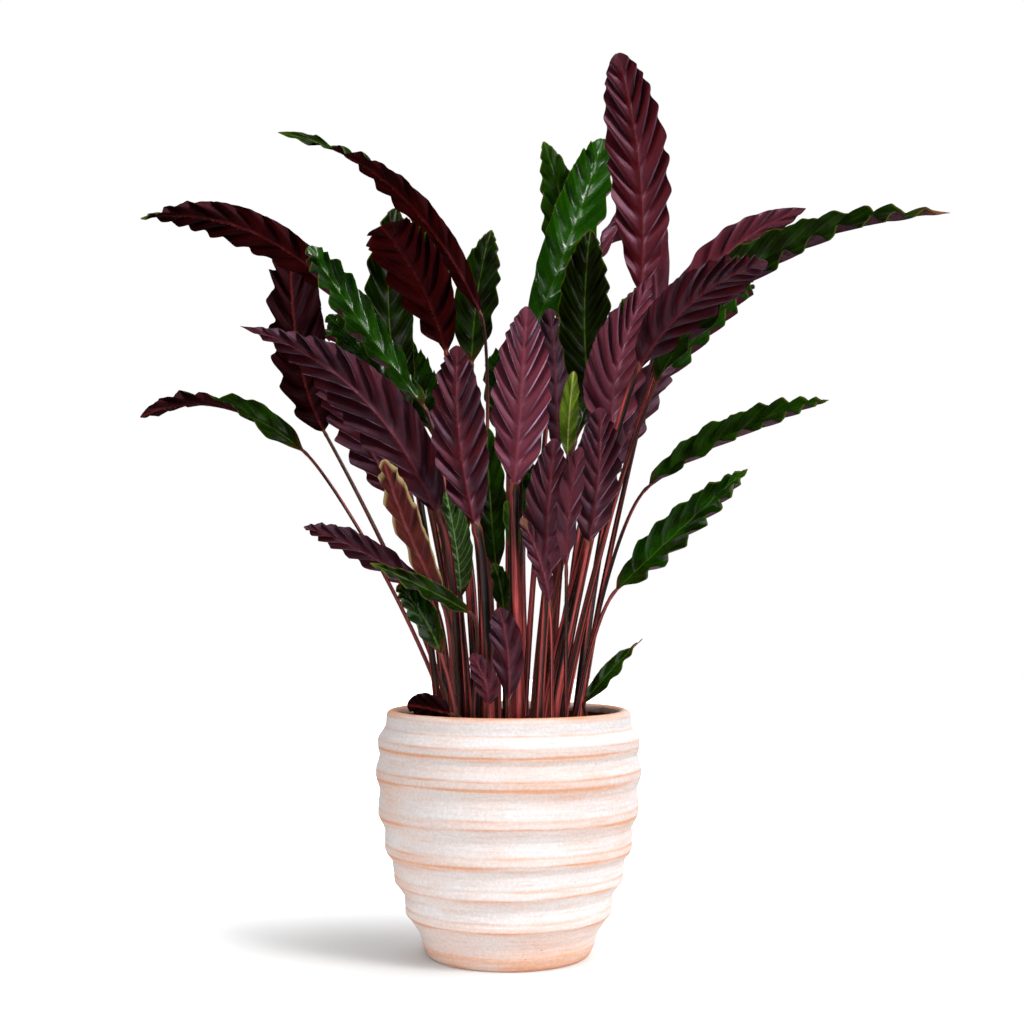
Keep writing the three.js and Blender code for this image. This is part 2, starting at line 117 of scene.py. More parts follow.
# Soil
SOIL_LEVEL = 189
SOIL_MOUND = 4
SOIL_LUMP = 1.6
CLEARANCE = 0.3
SOIL_RINGS = 70
SOIL_SEGMENTS = 180
CRUMBS = 520
CRUMB_SIZE = (0.7, 2.6)
CRUMB_RISE = 0.35

# Stalks and blades
STALK_DEPTH = 22
STALK_STRAIGHT = 8
STALK_LEAN = 0.6
STALK_PULL = 0.35
NECK_PULL = 0.2
NECK_PULL_MOST = 30
SWELLING = 16
SWELLING_START = 0.5
BLADE_THICKNESS = 0.9
EDGE_THICKNESS = 0.5
RIB_TIP_RADIUS = 0.7
VEIN_SWEEP = 1.5
VEIN_SWEEP_MOST = 0.6
SCALLOP = 0.07
WAVE_JITTER = 0.5
FIRST_CREST = 0.35
LAST_CREST = 0.97
DEFAULT_FOLD = 12
DEFAULT_TAPER = 0.55
DEFAULT_STOUT = 1
DEFAULT_LATE = 2
BASE_TAPER = 0.65
RUFFLE_PER_WIDTH = 0.085
STALK_RADIUS_PER_WIDTH = 0.05
STALK_LEAST_RADIUS = 0.9
NECK_LEAST_RADIUS = 1.3
NECK_SHARE = 0.6

# Finer form that the solids leave out: samples, swelling of the joint, creases and fullness of the waves,
# camber, groove along the rib, the half width below which a blade is thinner and how thin it gets, ripples,
# pleats, relief between rib and margin, and bend of the side veins
ACROSS = 10
RING = 4 * ACROSS + 2
STALK_SIDES = RING // 3
STEPS_PER_HALF_WAVE = 7
STALK_STEP = 9
BASE_RINGS = 4
JOINT_RINGS = 6
JOINT_SWELLING = 0.18
ACROSS_CROWDING = 1.5
CREASE = 0.85
MARGIN_CREASE = 0.15
WAVE_FULLNESS = 0.85
CAMBER = 0.035
GROOVE = 0.45
SLIM_BELOW = 3
SLIMMEST = 0.35
RIPPLE = 0.16
RIPPLES_PER_WAVE = 2.7
PLEAT = 0.16
RELIEF = 0.6
VEIN_BEND = 1.35

# Down on the stalks and under the ribs
HAIRS_PER_MM = 1.6
RIB_HAIRS_PER_MM = 0.8
HAIR_LENGTH = (0.8, 1.7)
HAIR_RADIUS = 0.07
HAIR_SUNK = 0.15
HAIR_LEAN = (-0.1, 0.6)
HAIR_SCATTER = 0.15
HAIRY_RIB = (0.03, 0.85)


def row(*given, **more):
    """One row of a table: what every row gives, in its order, and by name what sets this one apart."""
    return given, more


# The leaves, with the same values as their solids: root, neck, middle, tip, bearing, width and waves
LEAVES = [
    # far left, arching out high
    row((-45, 24), (-143, 48, 559), (-228, 20, 615), (-315, 0, 620), 190, 36, 9,
        roll=(58, -60), late=8, taper=0.75, stout=0.8),
    row((-22, 5), (-24, 0, 538), (-96, -25, 639), (-191, -50, 680), 190, 28, 10,
        roll=(55, -110), late=3, taper=0.9, stout=0.85),
    row((-49, 8), (-161, 35, 441), (-188, 62, 517), (-201, 98, 628), 250, 53, 8, taper=0.45, stout=0.65),
    row((-40, -38), (-57, -60, 365), (-121, -95, 460), (-208, -120, 507), 215, 52, 10,
        roll=(45, 40), taper=1.2, stout=1.6),
    row((-51, -8), (-176, 10, 422), (-243, -10, 457), (-306, -30, 446), 190, 34, 7,
        roll=(-90, 60), late=1, taper=0.8, fold=25, stout=0.7),
    # bright green upper sides, left of the middle
    row((-34, -22), (-73, 20, 460), (-129, 5, 535), (-170, -10, 594), 135, 42, 8),
    row((-36, 14), (-92, 30, 463), (-125, 30, 505), (-158, 28, 542), 120, 36, 6),
    row((-26, -32), (-52, -30, 501), (-71, -58, 551), (-102, -88, 593), 240, 56, 8,
        roll=(10, 0), taper=0.25, stout=0.9),
    row((-38, 34), (-90, 66, 457), (-109, 84, 554), (-104, 108, 656), 110, 44, 8),
    row((-12, 18), (-33, 60, 505), (-28, 75, 571), (-16, 95, 633), 80, 40, 7, taper=0.8),
    # the two that face the front
    row((-17, -52), (-26, -80, 355), (-39, -95, 425), (-40, -108, 494), 262, 44, 9, stout=2, taper=0.65),
    row((8, -58), (5, -85, 386), (10, -102, 456), (14, -118, 523), 268, 46, 9, stout=1.8, taper=0.7),
    # the tallest, and the green ones behind it
    row((34, -8), (112, -5, 556), (110, -25, 654), (89, -60, 743), 270, 51, 10, stout=1.2),
    row((14, 48), (44, 75, 546), (50, 95, 637), (32, 115, 721), 95, 40, 8, taper=0.75),
    row((8, 22), (18, 35, 522), (58, 60, 625), (86, 92, 717), 85, 46, 8),
    row((22, 6), (68, -22, 460), (64, -14, 535), (70, -4, 610), 80, 44, 8, taper=0.7),
    row((63, 36), (132, 62, 531), (121, 68, 634), (80, 62, 600), 190, 38, 4, roll=(40, 40)),
    # right, arching out high
    row((48, 6), (139, -5, 528), (184, -30, 584), (243, -60, 614), -25, 38, 7,
        roll=(-70, -60), taper=0.9, stout=0.8),
    row((44, -12), (121, -40, 472), (212, -70, 568), (352, -90, 603), -10, 50, 10,
        roll=(60, 30), late=1, taper=0.9, fold=28, stout=0.8),
    row((39, -30), (105, -75, 482), (146, -105, 530), (198, -140, 553), -40, 47, 9,
        roll=(-30, -20), stout=1.3, taper=0.65),
    row((30, -26), (84, -45, 426), (90, -55, 490), (116, -66, 556), -70, 52, 9, stout=1.4, taper=0.9),
    row((38, 16), (83, 24, 396), (112, 32, 456), (145, 38, 512), -50, 40, 6),
    # right, lower, with stalks standing clear
    row((56, -12), (118, -10, 390), (187, -25, 431), (265, -35, 460), 0, 38, 8,
        roll=(35, 35), taper=0.8, fold=28, stout=0.75),
    row((54, -42), (87, -60, 303), (134, -90, 349), (186, -110, 397), -20, 38, 8,
        roll=(55, 55), taper=0.8, stout=0.75),
    row((64, -30), (62, -34, 211), (85, -45, 239), (108, -58, 264), 0, 15, 4,
        roll=(60, -40), late=4, taper=0.9),
    # left, lower
    row((-46, -22), (-69, -30, 303), (-124, -30, 337), (-169, -35, 355), 190, 28, 7,
        roll=(50, 50), taper=0.8),
    row((-28, -60), (-31, -75, 285), (-65, -95, 304), (-108, -105, 324), 180, 18, 5,
        roll=(-50, -50), taper=0.8),
    row((-40, -76), (-53, -84, 252), (-68, -90, 283), (-87, -95, 307), 160, 24, 5, roll=(-40, -40)),
    row((-34, -70), (-46, -66, 204), (-62, -56, 207), (-82, -50, 210), 190, 26, 4, roll=(60, 60)),
    row((-42, -50), (-54, -72, 297), (-80, -92, 352), (-97, -105, 405), 215, 29, 5,
        roll=(20, 20), stout=1.4),
    # short ones inside the clump
    row((-30, -46), (-39, -38, 298), (-43, -36, 339), (-52, -30, 384), 100, 26, 6),
    row((-8, -20), (-10, -30, 319), (-15, -30, 377), (-18, -25, 438), 90, 26, 7),
    row((24, -68), (30, -85, 311), (31, -97, 366), (36, -110, 421), 272, 37, 7, stout=1.5, taper=0.7),
    row((36, -50), (64, -70, 341), (71, -82, 394), (72, -95, 447), 280, 38, 8, stout=1.6, taper=0.65),
    row((36, -14), (49, -32, 414), (50, -34, 446), (54, -36, 484), 80, 16, 4),
    row((20, -8), (42, 6, 422), (40, 14, 486), (35, 22, 547), 290, 30, 7),
    row((0, -74), (0, -80, 216), (-1, -85, 256), (-8, -90, 289), 262, 26, 4),
    row((-18, -74), (-17, -82, 212), (-18, -90, 230), (-29, -90, 253), 255, 20, 4),
    row((46, -58), (45, -104, 322), (47, -120, 368), (55, -134, 412), 290, 20, 5),
    row((9, -38), (7, -50, 327), (3, -50, 352), (-2, -45, 376), 90, 12, 3),
    row((-3, -40), (-4, -48, 283), (-6, -50, 303), (-12, -50, 325), 120, 18, 3),
    # one behind the big left blade, and a crumpled one in the middle
    row((-57, -32), (-89, -36, 375), (-124, -30, 435), (-159, -14, 491), 225, 46, 8, roll=(25, 15)),
    row((34, -78), (32, -104, 293), (24, -110, 326), (10, -112, 359), 265, 15, 6),
    # the back of the plant
    row((0, 56), (0, 95, 430), (0, 150, 500), (5, 215, 540), 90, 48, 8, stout=1.3),
    row((-36, 50), (-66, 98, 440), (-96, 154, 510), (-118, 220, 548), 112, 48, 8, stout=1.3),
    row((32, 56), (60, 100, 440), (88, 150, 510), (112, 205, 545), 65, 48, 8, stout=1.3),
    row((-14, 66), (-20, 110, 360), (-30, 175, 400), (-45, 235, 405), 100, 42, 7, stout=1.3),
    row((14, 68), (15, 105, 368), (34, 170, 413), (54, 235, 423), 75, 42, 7, stout=1.3),
    row((-27, 64), (-40, 88, 350), (-64, 130, 388), (-90, 174, 400), 115, 40, 7, stout=1.3),
    row((46, 40), (66, 68, 370), (82, 105, 405), (96, 145, 425), 60, 38, 7, stout=1.3),
    row((-54, 38), (-99, 92, 468), (-144, 140, 530), (-190, 184, 545), 140, 44, 8, stout=1.3),
    row((58, 18), (112, 74, 462), (170, 94, 532), (226, 112, 586), 45, 42, 8, stout=1.3),
]

# Looks of a blade's upper side: its colours where dark, where bright, of its veins and of its margin
UPPER_SIDES = {
    "green": row((9, 13, 0), (22, 66, 0), (54, 92, 10), (78, 92, 18)),
    "dull": row((7, 10, 0), (26, 60, 0), (58, 84, 14), (78, 92, 18), veined=0.2, gloss=0.08, roughness=0.36),
    "lime": row((60, 92, 4), (120, 156, 26), (226, 226, 140), (120, 80, 40)),
    "veined": row((8, 24, 4), (20, 52, 10), (120, 150, 84), (60, 90, 30), veined=0.9),
    "young": row((80, 40, 24), (120, 62, 44), (150, 110, 70), (190, 176, 120)),
}

# The same for the under side
UNDER_SIDES = {
    "velvet": row((18, 0, 2), (76, 10, 15), (90, 16, 19), (16, 2, 3)),
    # The mauve under side is partly the leaves' own colour and partly painted sheen: brighter and bluer than
    # the velvet.
    "mauve": row((28, 5, 10), (98, 34, 45), (120, 50, 61), (20, 4, 6), bloom=1.0),
    "crimson": row((14, 0, 0), (54, 5, 5), (80, 18, 15), (14, 2, 2), gloss=0.15, bloom=0.0),
    "young": row((66, 22, 14), (126, 62, 46), (140, 60, 56), (186, 168, 112), rim_width=2.6, gloss=0.4),
}

# The upper and the under side of each look that a leaf can have
SIDES = {
    "usual": ("green", "velvet"), "dull": ("dull", "velvet"), "mauve": ("green", "mauve"),
    "crimson": ("dull", "crimson"), "lime": ("lime", "velvet"), "veined": ("veined", "velvet"),
    "young": ("young", "young"),
}
DRY_COLOR = (104, 66, 34)

# Leaves whose look stands out, by number, and how much of the end of some has dried
LOOKS = {
    30: "young", 35: "lime", 31: "veined",
    **dict.fromkeys((1, 2, 3, 5, 8, 29), "crimson"),
    # The mauve leaves carry painted sheen in the colour of their under sides.
    **dict.fromkeys((12, 17, 18, 21), "mauve"),
    **dict.fromkeys((9, 10, 14, 16, 19, 23, 27, 32, 40, 41), "dull"),
}
DRIED = {25: 0.3, 28: 0.08, 26: 0.06, 19: 0.12, 43: 0.2}

# The tone of a leaf's colour from dark to bright; the others are drawn between the two
TONES = {
    1: 0.5, 2: 0.5, 3: 0.0, 4: 0.3, 5: 0.4, 6: 0.6, 7: 0.6, 8: 0.65, 9: 0.1, 10: 0.15, 11: 0.5, 12: 0.8,
    13: 1.0, 14: 0.55, 15: 0.9, 16: 0.0, 17: 0.7, 18: 1.0, 19: 0.3, 20: 0.45, 21: 1.3, 22: 0.3, 23: 0.5,
    24: 0.45, 25: 0.4, 26: 0.4, 27: 0.2, 28: 0.4, 29: -0.3, 31: 0.6, 32: 0.35, 33: 0.35, 34: 0.4, 36: 0.1,
    37: 0.3, 38: 0.5, 39: 0.5, 40: 0.8, 41: 0.4, 42: 0.3, 43: 0.4,
}


def draw(seed, index):
    """A repeatable draw between 0 and 1."""
    value = math.sin(seed * 12.9898 + index * 78.233) * 43758.5453
    return value - math.floor(value)


def mix(a, b, share):
    return a + (b - a) * share


def smooth(low, high, value):
    share = np.clip((value - low) / (high - low), 0, 1)
    return share * share * (3 - 2 * share)


def unit(vectors):
    return vectors / np.linalg.norm(vectors, axis=-1, keepdims=True)


def linear(red, green, blue):
    """A colour given as 0 to 255 in sRGB, as linear values with full opacity."""
    shares = [channel / 255 for channel in (red, green, blue)]
    return tuple(c / 12.92 if c <= 0.04045 else ((c + 0.055) / 1.055) ** 2.4 for c in shares) + (1.0,)


def make_piece(name, points, faces, materials, face_materials=None, attributes=None, sharp=60):
    """A mesh object from points in millimetres, with material numbers by face and values by point."""
    mesh = bpy.data.meshes.new(name)
    mesh.from_pydata((np.asarray(points) * MM).tolist(), [], faces)
    for material in materials:
        mesh.materials.append(material)
    if face_materials is not None:
        mesh.polygons.foreach_set("material_index", np.asarray(face_materials, np.int32))
    for key, values in (attributes or {}).items():
        layer = mesh.attributes.new(key, "FLOAT", "POINT")
        layer.data.foreach_set("value", np.asarray(values, np.float32))
    mesh.shade_smooth()
    mesh.set_sharp_from_angle(angle=math.radians(sharp))
    mesh.update()
    piece = bpy.data.objects.new(name, mesh)
    bpy.context.scene.collection.objects.link(piece)
    return piece


def dress(piece, node):
    """Makes a piece ride on the object's one body in place of its solid."""
    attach(piece, "root")
    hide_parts(node)


class Shader:
    """A material's nodes, with one short call for each kind that the materials use."""

    def __init__(self, name):
        self.material = bpy.data.materials.new(name)
        self.material.use_nodes = True
        self.tree = self.material.node_tree
        self.tree.nodes.clear()

    def node(self, kind, inputs, **settings):
        """A node with its settings. Each of its inputs takes another node's output or a plain value."""
        made = self.tree.nodes.new(kind)
        for key, value in settings.items():
            setattr(made, key, value)
        for key, value in inputs.items():
            if isinstance(value, bpy.types.NodeSocket):
                self.tree.links.new(value, made.inputs[key])
            elif value is not None:
                made.inputs[key].default_value = value
        return made

    def attribute(self, name):
        return self.node("ShaderNodeAttribute", {}, attribute_name=name).outputs["Fac"]

    def place(self, scale=(1, 1, 1)):
        """The point's place in the object, in metres, stretched by the given scale."""
        here = self.node("ShaderNodeTexCoord", {}).outputs["Object"]
        return self.node("ShaderNodeMapping", {"Vector": here, "Scale": scale}).outputs["Vector"]

    def together(self, x, y, z):
        return self.node("ShaderNodeCombineXYZ", {0: x, 1: y, 2: z}).outputs[0]

    def noise(self, vector, scale, detail=3.0, roughness=0.5):
        inputs = {"Vector": vector, "Scale": scale, "Detail": detail, "Roughness": roughness}
        return self.node("ShaderNodeTexNoise", inputs).outputs["Fac"]

    def cells(self, vector, scale):
        return self.node("ShaderNodeTexVoronoi", {"Vector": vector, "Scale": scale}).outputs["Distance"]

    def work_out(self, operation, a, b=None):
        return self.node("ShaderNodeMath", {0: a, 1: b}, operation=operation).outputs[0]

    def plus(self, a, b):
        return self.work_out("ADD", a, b)

    def times(self, a, b):
        return self.work_out("MULTIPLY", a, b)

    def step(self, value, low, high, start=0.0, end=1.0):
        """Goes smoothly from start to end while the value goes from low to high."""
        inputs = {"Value": value, "From Min": low, "From Max": high, "To Min": start, "To Max": end}
        return self.node("ShaderNodeMapRange", inputs, interpolation_type="SMOOTHSTEP").outputs["Result"]

    def blend(self, share, a, b, how="MIX"):
        """Mixes two colours, each another node's output or given as 0 to 255."""
        a, b = (color if isinstance(color, bpy.types.NodeSocket) else linear(*color) for color in (a, b))
        inputs = {0: share, 6: a, 7: b}
        return self.node("ShaderNodeMix", inputs, data_type="RGBA", blend_type=how).outputs[2]

    def painted(self, color, *layers):
        """Lays further colours over a colour, each by its share."""
        for share, over in layers:
            color = self.blend(share, color, over)
        return color

    def speckled(self, color, factor):
        """Makes a colour darker or brighter by a factor around 1."""
        return self.blend(1.0, color, self.together(factor, factor, factor), "MULTIPLY")

    def bump(self, height, distance):
        inputs = {"Strength": 1.0, "Distance": distance * MM, "Height": height}
        return self.node("ShaderNodeBump", inputs).outputs["Normal"]

    def finish(self, color, roughness, normal=None, **more):
        """Ends the material with its surface, whose other inputs go by name, with _ for each space."""
        inputs = {"Base Color": color, "Roughness": roughness, "Normal": normal}
        inputs.update((key.replace("_", " "), value) for key, value in more.items())
        surface = self.node("ShaderNodeBsdfPrincipled", inputs)
        self.node("ShaderNodeOutputMaterial", {"Surface": surface.outputs["BSDF"]})
        return self.material


def vein_lines(shader, per_wave, width):
    """Thin lines along the side veins."""
    saw = shader.work_out("FRACT", shader.times(shader.attribute("phase"), per_wave))
    off = shader.work_out("ABSOLUTE", shader.work_out("SUBTRACT", saw, 0.5))
    return shader.step(off, 0.0, width, 1.0, 0.0)


def green_side(name, colors, veined=0.25, gloss=0.35, roughness=0.2):
    """The upper side: paler midrib, faint side veins and a thin pale margin."""
    dark, bright, vein, margin = colors
    shader = Shader(f"{name}_upper")
    spot = shader.place()
    patches = shader.plus(shader.step(shader.noise(spot, 45, 4), 0.3, 0.7, -0.25, 0.25),
                          shader.attribute("tone"))
    color = shader.blend(shader.step(patches, 0.0, 1.0), dark, bright)
    color = shader.speckled(color, shader.step(shader.noise(spot, 1100, 3, 0.7), 0.25, 0.75, 0.7, 1.3))
    side = vein_lines(shader, 2, 0.07)
    fine = vein_lines(shader, 12, 0.3)
    rib = shader.step(shader.attribute("rib"), 0.25, 0.95, 0.85, 0.0)
    rim = shader.step(shader.attribute("rim"), 0.15, 0.8, 0.75, 0.0)
    near_neck = shader.step(shader.attribute("along"), 0.0, 9.0, 0.8, 0.0)
    color = shader.painted(
        color, (shader.times(side, veined), vein), (shader.times(fine, veined * 0.4), vein),
        (rib, vein), (rim, margin), (near_neck, (84, 44, 24)), (shader.attribute("dry"), DRY_COLOR))
    height = shader.plus(shader.times(fine, -0.7), shader.noise(spot, 700, 2))
    rough = shader.step(shader.noise(spot, 120, 3), 0.3, 0.7, roughness, roughness + 0.12)
    return shader.finish(color, rough, shader.bump(height, 0.05), Specular_IOR_Level=gloss)


def velvet_side(name, colors, rim_width=0.7, gloss=1.0, bloom=0.45):
    """The downy under side: raised rosy midrib, side veins and a mauve bloom."""
    dark, bright, vein, margin = colors
    shader = Shader(f"{name}_under")
    spot = shader.place()
    tone = shader.attribute("tone")
    patches = shader.plus(shader.step(shader.noise(spot, 35, 4), 0.3, 0.7, -0.3, 0.3), tone)
    color = shader.blend(shader.step(patches, -0.1, 1.1), dark, bright)
    color = shader.speckled(color, shader.step(shader.noise(spot, 1400, 3, 0.7), 0.25, 0.75, 0.6, 1.45))
    side = vein_lines(shader, 2, 0.06)
    fine = vein_lines(shader, 12, 0.3)
    rib = shader.step(shader.attribute("rib"), 0.6, 2.0, 0.7, 0.0)
    rim = shader.step(shader.attribute("rim"), 0.15 * rim_width, rim_width, 0.7, 0.0)
    color = shader.painted(
        color, (shader.times(side, 0.3), vein), (shader.times(fine, 0.2), vein),
        (rib, vein), (rim, margin), (shader.attribute("dry"), DRY_COLOR))
    height = shader.plus(shader.times(fine, 0.8), shader.noise(spot, 1300, 2))
    rough = shader.step(shader.noise(spot, 150, 3), 0.3, 0.7, 0.46, 0.58)
    rough = shader.plus(rough, shader.step(tone, 0.0, 0.8, 0.12, 0.0))
    tint = linear(240, 192, 228)
    return shader.finish(color, rough, shader.bump(height, 0.1), Specular_IOR_Level=gloss,
                         Specular_Tint=tint, Sheen_Weight=bloom, Sheen_Roughness=0.3, Sheen_Tint=tint)


def stalk_skin():
    """Crimson stalks with darker and browner streaks, speckled where the down grows."""
    shader = Shader("stalk_skin")
    along = shader.attribute("along")
    tone = shader.attribute("tone")
    turn = shader.times(shader.attribute("turn"), math.tau)
    ring = shader.together(shader.work_out("COSINE", turn), shader.work_out("SINE", turn),
                           shader.plus(shader.times(along, 0.006), shader.times(tone, 37)))
    streaks = shader.step(shader.noise(ring, 1.3, 3), 0.45, 0.66)
    color = shader.blend(streaks, (14, 5, 3), (198, 76, 74))
    brown = shader.step(tone, 0.1, 0.45, 0.65, 0.0)
    color = shader.blend(brown, color, (74, 36, 22))
    color = shader.speckled(color, shader.step(shader.noise(ring, 6, 3), 0.4, 0.6, 0.55, 1.2))
    specks = shader.step(shader.cells(shader.place(), 900), 0.0, 0.35, 0.5, 0.0)
    joint = shader.step(along, -14.0, -1.0, 0.0, 0.5)
    color = shader.painted(color, (specks, (48, 14, 14)), (joint, (96, 52, 34)))
    height = shader.plus(shader.noise(ring, 6, 2), shader.times(specks, -0.8))
    return shader.finish(color, 0.42, shader.bump(height, 0.25), Sheen_Weight=0.15, Sheen_Roughness=0.4,
                         Sheen_Tint=linear(235, 190, 185))


def down_hair():
    """The down itself, in shades of pale rose."""
    shader = Shader("down_hair")
    shade = shader.step(shader.noise(shader.place(), 300, 2), 0.3, 0.7)
    color = shader.blend(shade, (120, 62, 56), (176, 122, 108))
    return shader.finish(color, 0.6, Sheen_Weight=0.3, Sheen_Roughness=0.5)


def limewashed_clay():
    """Fired clay under a chalky wash: worn through on the edges of the beads and the lip, with pores and
    streaks, and with painted shade in the clay's colour in the hollows under the beads.
    """
    shader = Shader("limewashed_clay")
    spot = shader.place()
    bands = shader.place((1, 1, 14))
    rubbed = shader.step(shader.noise(bands, 13, 4), 0.34, 0.62, 0.35, 1.15)
    # The clay shows where the wash is worn, and as painted shade in the hollows under the beads.
    wear_and_shade = shader.times(shader.attribute("bare_and_shade"), rubbed)
    blush = shader.step(shader.noise(shader.place((1, 1, 2.5)), 9, 4), 0.42, 0.72, 0.0, 0.3)
    streak = shader.step(shader.noise(bands, 30, 5, 0.6), 0.45, 0.75, 0.0, 0.3)
    low = shader.step(shader.attribute("rise"), 6.0, 42.0, 0.32, 0.0)
    bare_and_shade = shader.plus(shader.plus(wear_and_shade, blush), shader.plus(streak, low))
    color = shader.blend(shader.work_out("MINIMUM", bare_and_shade, 1.0), (205, 201, 201), (202, 150, 120))
    pores = shader.times(shader.step(shader.cells(spot, 95), 0.0, 0.085, 1.0, 0.0),
                         shader.step(shader.noise(spot, 28, 2), 0.55, 0.62))
    color = shader.blend(shader.times(pores, 0.8), color, (150, 84, 52))
    color = shader.speckled(color, shader.step(shader.noise(spot, 420, 3), 0.35, 0.7, 0.93, 1.05))
    # Inside the pot, from just under the lip down to the soil, the clay is turned a dark brown.
    color = shader.blend(shader.step(shader.attribute("inside"), 0.2, 0.8), color, (78, 50, 36))
    height = shader.plus(shader.noise(shader.place((1, 1, 9)), 90, 4), shader.times(pores, -2.5))
    height = shader.plus(height, shader.times(shader.noise(spot, 600, 3), 0.35))
    return shader.finish(color, 0.88, shader.bump(height, 0.35), Specular_IOR_Level=0.25)


def potting_soil():
    """Dark peat with brown fibres and a few pale grains."""
    shader = Shader("potting_soil")
    spot = shader.place()
    mottle = shader.step(shader.noise(spot, 160, 4), 0.35, 0.65)
    color = shader.blend(mottle, (22, 14, 10), (62, 42, 29))
    grains = shader.step(shader.cells(spot, 260), 0.0, 0.2, 0.7, 0.0)
    chosen = shader.step(shader.noise(spot, 90, 1), 0.6, 0.66)
    color = shader.blend(shader.times(grains, chosen), color, (150, 128, 98))
    height = shader.plus(shader.noise(spot, 300, 5, 0.65), shader.noise(spot, 900, 3))
    return shader.finish(color, 0.95, shader.bump(height, 0.9), Specular_IOR_Level=0.2)


def curve_point(pulls, share):
    """Points of the smooth curve that runs from the first of its pulls to the last."""
    while len(pulls) > 1:
        pulls = [mix(a, b, share[:, None]) for a, b in zip(pulls[:-1], pulls[1:])]
    return np.broadcast_to(pulls[0], (len(share), 3))


def curve_heading(pulls, share):
    return unit(curve_point(np.diff(pulls, axis=0), share))


def curve_length(pulls):
    chords = np.diff(curve_point(pulls, np.linspace(0, 1, 201)), axis=0)
    return np.linalg.norm(chords, axis=1).sum()


class Leaf:
    """One leaf's measures, curves and axes, worked out as for its solid."""

    def __init__(self, index, root, neck, mid, tip, bearing, width, waves, roll=(0, 0),
                 late=DEFAULT_LATE, taper=DEFAULT_TAPER, fold=DEFAULT_FOLD, stout=DEFAULT_STOUT):
        self.number = index + 1
        neck, mid, tip = np.array([neck, mid, tip], float)
        self.blade = [neck, 2 * mid - (neck + tip) / 2, tip]
        self.length = curve_length(self.blade)
        self.roll = roll
        self.late = late
        self.width = width
        self.taper = taper
        self.fold = math.radians(fold)
        self.steps = waves * 2
        peak = BASE_TAPER / (BASE_TAPER + taper)
        self.peak = peak ** BASE_TAPER * (1 - peak) ** taper
        self.ruffle = width * RUFFLE_PER_WIDTH
        self.base_radius = stout * (width * STALK_RADIUS_PER_WIDTH + STALK_LEAST_RADIUS)
        self.neck_radius = max(NECK_LEAST_RADIUS, self.base_radius * NECK_SHARE)
        turn = math.radians(bearing)
        self.outward = np.array([math.cos(turn), math.sin(turn), 0])
        foot = np.array([*root, SOIL_LEVEL + STALK_STRAIGHT], float)
        span = neck - foot
        reach = np.linalg.norm(span)
        upward = unit(span * (STALK_LEAN, STALK_LEAN, 1)) * reach * STALK_PULL
        into = curve_heading(self.blade, np.zeros(1))[0] * min(NECK_PULL_MOST, reach * NECK_PULL)
        self.stalk = [foot, foot + upward, neck - into, neck]
        self.stalk_length = curve_length(self.stalk)
        self.swollen = max(SWELLING_START, 1 - SWELLING / self.stalk_length)
        self.stations = self.crest_places()
        self.strengths = self.crest_strengths()

    def crest_places(self):
        """Shares of the blade at which the waves' crests and troughs start from the rib."""
        nudges = [0 if step == 0 else WAVE_JITTER * (draw(self.number, 100 + step) - 0.5)
                  for step in range(self.steps)]
        return np.array([(step + FIRST_CREST + nudge) / self.steps * LAST_CREST
                         for step, nudge in enumerate(nudges)])

    def crest_strengths(self):
        """Signed strength of each crest and trough, on the left and on the right."""
        return np.array([[(-1) ** step * (1 + WAVE_JITTER * (2 * draw(self.number, step * 2 + side) - 1))
                          for step in range(self.steps)] for side in (0, 1)])

    def axes(self, heading, share=0.0):
        """Directions to the blade's right and out of its upper side, where a curve has a heading."""
        across = np.cross(self.outward, [0, 0, 1])
        across = unit(across - heading * (heading @ across)[:, None])
        upper = np.cross(across, heading)
        roll = np.radians(mix(*self.roll, np.asarray(share) ** self.late))[..., None]
        return (across * np.cos(roll) - upper * np.sin(roll),
                upper * np.cos(roll) + across * np.sin(roll))

    def stalk_radius(self, share):
        return mix(self.base_radius, self.neck_radius, share)

    def rib_radius(self, share):
        return mix(self.neck_radius, RIB_TIP_RADIUS, np.sqrt(share))

    def half_width(self, share):
        return 0.5 * self.width * share ** BASE_TAPER * np.maximum(0, 1 - share) ** self.taper / self.peak

    def phase(self, share):
        """Counts crests and troughs along the rib: even at a crest, odd at a trough."""
        places = self.stations
        inner = np.interp(share, places, np.arange(self.steps))
        before = (share - places[0]) / (places[1] - places[0])
        after = self.steps - 1 + (share - places[-1]) / (places[-1] - places[-2])
        return np.where(share < places[0], before, np.where(share > places[-1], after, inner))

    def wave(self, phase, values, crease):
        """Goes from each crest to the next trough: creased at the crests and round at the troughs."""
        step = np.clip(np.floor(phase), 0, self.steps - 2).astype(int)
        part = np.clip(phase - step, 0, 1)
        down = np.where(step % 2 == 0, part, 1 - part)
        curve = mix((1 - np.cos(np.pi * down)) / 2, np.sin(np.pi / 2 * down), crease)
        share = np.where(step % 2 == 0, curve, 1 - curve)
        return mix(values[step], values[step + 1], share)

    def shares(self):
        """Shares of the blade at which its rings stand, from just past the neck to the tip."""
        start = np.linspace(0, self.stations[0], 5)[1:-1]
        inner = [np.linspace(a, b, STEPS_PER_HALF_WAVE, endpoint=False)
                 for a, b in zip(self.stations[:-1], self.stations[1:])]
        end = 1 - (1 - self.stations[-1]) * np.array([1, 0.75, 0.5, 0.3, 0.15, 0.05])
        return np.concatenate([start, *inner, end])


def round_rings(leaf, pulls, share, radii, count, roll_share=0.0):
    """Rings of points round a curve, each from its upper left, clockwise as seen from the curve's end."""
    across, upper = leaf.axes(curve_heading(pulls, share), roll_share)
    turns = np.radians(180 - (np.arange(count) + 0.5) * 360 / count)[:, None]
    out = across[:, None] * np.cos(turns) + upper[:, None] * np.sin(turns)
    return curve_point(pulls, share)[:, None] + np.broadcast_to(radii, len(share))[:, None, None] * out


